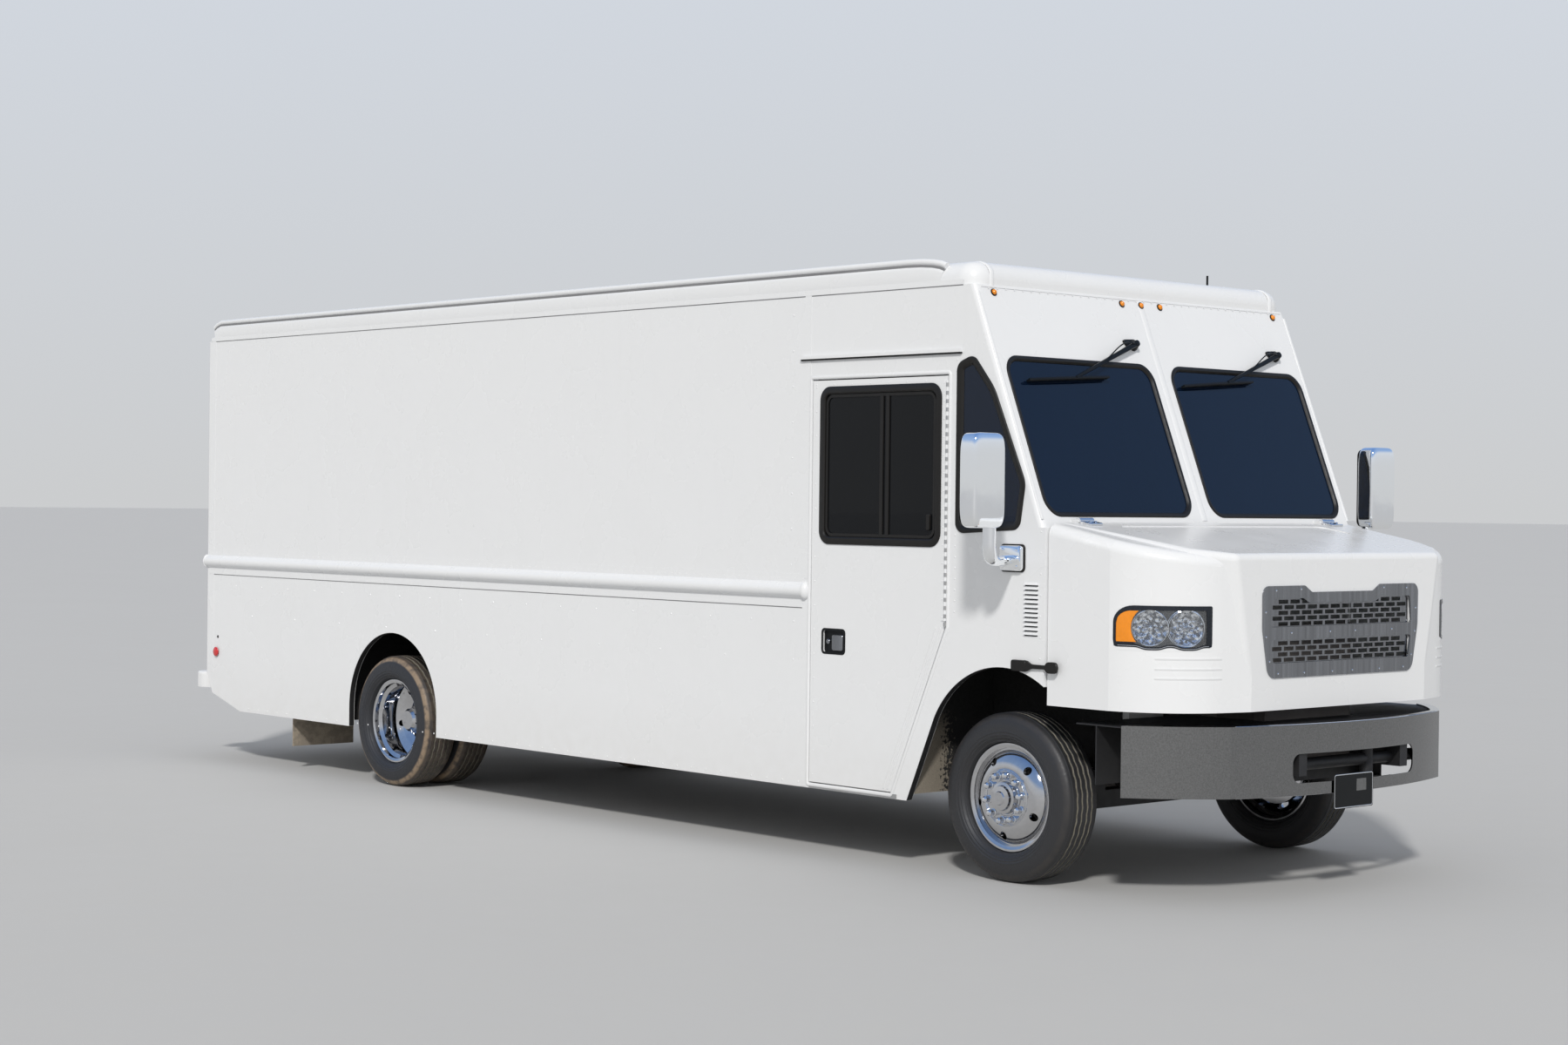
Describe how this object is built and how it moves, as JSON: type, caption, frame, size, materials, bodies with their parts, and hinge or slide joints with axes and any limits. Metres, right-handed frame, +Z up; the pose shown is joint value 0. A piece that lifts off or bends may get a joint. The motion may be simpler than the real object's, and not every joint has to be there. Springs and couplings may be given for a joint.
{
  "type": "step van",
  "caption": "Plain white walk-in step van with a tall riveted box body, raked split windscreen, short nose with a slotted grille, chrome bumper and twin rear wheels.",
  "frame": {"origin": "on the ground, below the centre of the overall length and width", "axes": "+X forward, +Y to the left, +Z up"},
  "size_m": [9.02, 3.319, 3.1079],
  "materials": {
    "white_paint": "satin white paint",
    "inner_panel": "grey paint",
    "floor_metal": "worn sheet",
    "glass": "dark tint",
    "chassis_black": "matte black paint",
    "cast_iron": "raw casting",
    "radiator_metal": "black fins",
    "exhaust_metal": "weathered steel",
    "wheel_metal": "polished",
    "tyre": "black rubber",
    "grille_metal": "brushed",
    "bumper_chrome": "polished",
    "mirror_chrome": "polished",
    "lamp_clear": "clear lens",
    "lamp_amber": "amber lens",
    "lamp_red": "red lens",
    "black_rubber": "matte",
    "black_plastic": "grained",
    "seat_cover": "dark cloth"
  },
  "bodies": {
    "chassis": {"amber_lamps": "lamp_amber", "body_side_left": "white_paint", "body_side_right": "white_paint", "cab_floor": "floor_metal", "cab_front": "white_paint", "cab_glass": "glass", "cab_side_left": "white_paint", "cab_side_right": "white_paint", "chassis_frame": "chassis_black", "dash_wall": "inner_panel", "dashboard": "black_plastic", "drive_shaft": "chassis_black", "driver_seat": "seat_cover", "engine_block": "cast_iron", "engine_cover": "inner_panel", "exhaust": "exhaust_metal", "floor": "floor_metal", "front_apron": "chassis_black", "front_axle": "chassis_black", "front_bumper": "bumper_chrome", "fuel_tank": "chassis_black", "leaf_springs": "chassis_black", "mirrors": "mirror_chrome", "mud_flaps": "black_rubber", "radiator": "radiator_metal", "rear_axle": "chassis_black", "rear_bumper": "white_paint", "rear_frame": "white_paint", "red_lamps": "lamp_red", "roof": "white_paint", "roof_aerials": "black_plastic", "steering_wheel": "black_plastic", "step_wells": "inner_panel", "wheelhouses": "inner_panel", "wipers": "black_rubber"},
    "knuckle_left": {"knuckle_left": "cast_iron"},
    "knuckle_right": {"knuckle_right": "cast_iron"},
    "front_wheel_left": {"front_rim_left": "wheel_metal", "front_tyre_left": "tyre"},
    "front_wheel_right": {"front_rim_right": "wheel_metal", "front_tyre_right": "tyre"},
    "rear_wheels_left": {"rear_rims_left": "wheel_metal", "rear_tyres_left": "tyre"},
    "rear_wheels_right": {"rear_rims_right": "wheel_metal", "rear_tyres_right": "tyre"},
    "door_left": {"door_left": "white_paint", "door_window_left": "glass"},
    "door_right": {"door_right": "white_paint", "door_window_right": "glass"},
    "rear_door_left": {"rear_door_left": "white_paint"},
    "rear_door_right": {"rear_door_right": "white_paint"},
    "hood": {"hood": "white_paint", "grille": "grille_metal", "headlamps": "lamp_clear"}
  },
  "joints": [
    {"name": "steer_left", "type": "hinge", "parent": "chassis", "child": "knuckle_left", "pos_m": [3.26, 0.86, 0.412], "axis": [0, 0, 1], "range_deg": [-35, 35]},
    {"name": "steer_right", "type": "hinge", "parent": "chassis", "child": "knuckle_right", "pos_m": [3.26, -0.86, 0.412], "axis": [0, 0, 1], "range_deg": [-35, 35]},
    {"name": "front_wheel_left_roll", "type": "hinge", "parent": "knuckle_left", "child": "front_wheel_left", "pos_m": [3.26, 1.022, 0.412], "axis": [0, 1, 0], "continuous": true},
    {"name": "front_wheel_right_roll", "type": "hinge", "parent": "knuckle_right", "child": "front_wheel_right", "pos_m": [3.26, -1.022, 0.412], "axis": [0, 1, 0], "continuous": true},
    {"name": "rear_wheels_left_roll", "type": "hinge", "parent": "chassis", "child": "rear_wheels_left", "pos_m": [-1.98, 0.9485, 0.412], "axis": [0, 1, 0], "continuous": true},
    {"name": "rear_wheels_right_roll", "type": "hinge", "parent": "chassis", "child": "rear_wheels_right", "pos_m": [-1.98, -0.9485, 0.412], "axis": [0, 1, 0], "continuous": true},
    {"name": "door_right_swing", "type": "hinge", "parent": "chassis", "child": "door_right", "pos_m": [2.927, -1.2251, 1.6], "axis": [0, 0, 1], "range_deg": [0, 85]},
    {"name": "door_left_swing", "type": "hinge", "parent": "chassis", "child": "door_left", "pos_m": [2.927, 1.2251, 1.6], "axis": [0, 0, -1], "range_deg": [0, 85]},
    {"name": "rear_door_right_swing", "type": "hinge", "parent": "chassis", "child": "rear_door_right", "pos_m": [-4.2961, -1.127, 1.8], "axis": [0, 0, 1], "range_deg": [0, 180]},
    {"name": "rear_door_left_swing", "type": "hinge", "parent": "chassis", "child": "rear_door_left", "pos_m": [-4.2961, 1.127, 1.8], "axis": [0, 0, -1], "range_deg": [0, 180]},
    {"name": "hood_tilt", "type": "hinge", "parent": "chassis", "child": "hood", "pos_m": [3.588, 0, 1.749], "axis": [0, -1, 0], "range_deg": [0, 60]}
  ],
  "couplings": [
    {"joint": "steer_right", "follows": "steer_left", "ratio": 1}
  ]
}
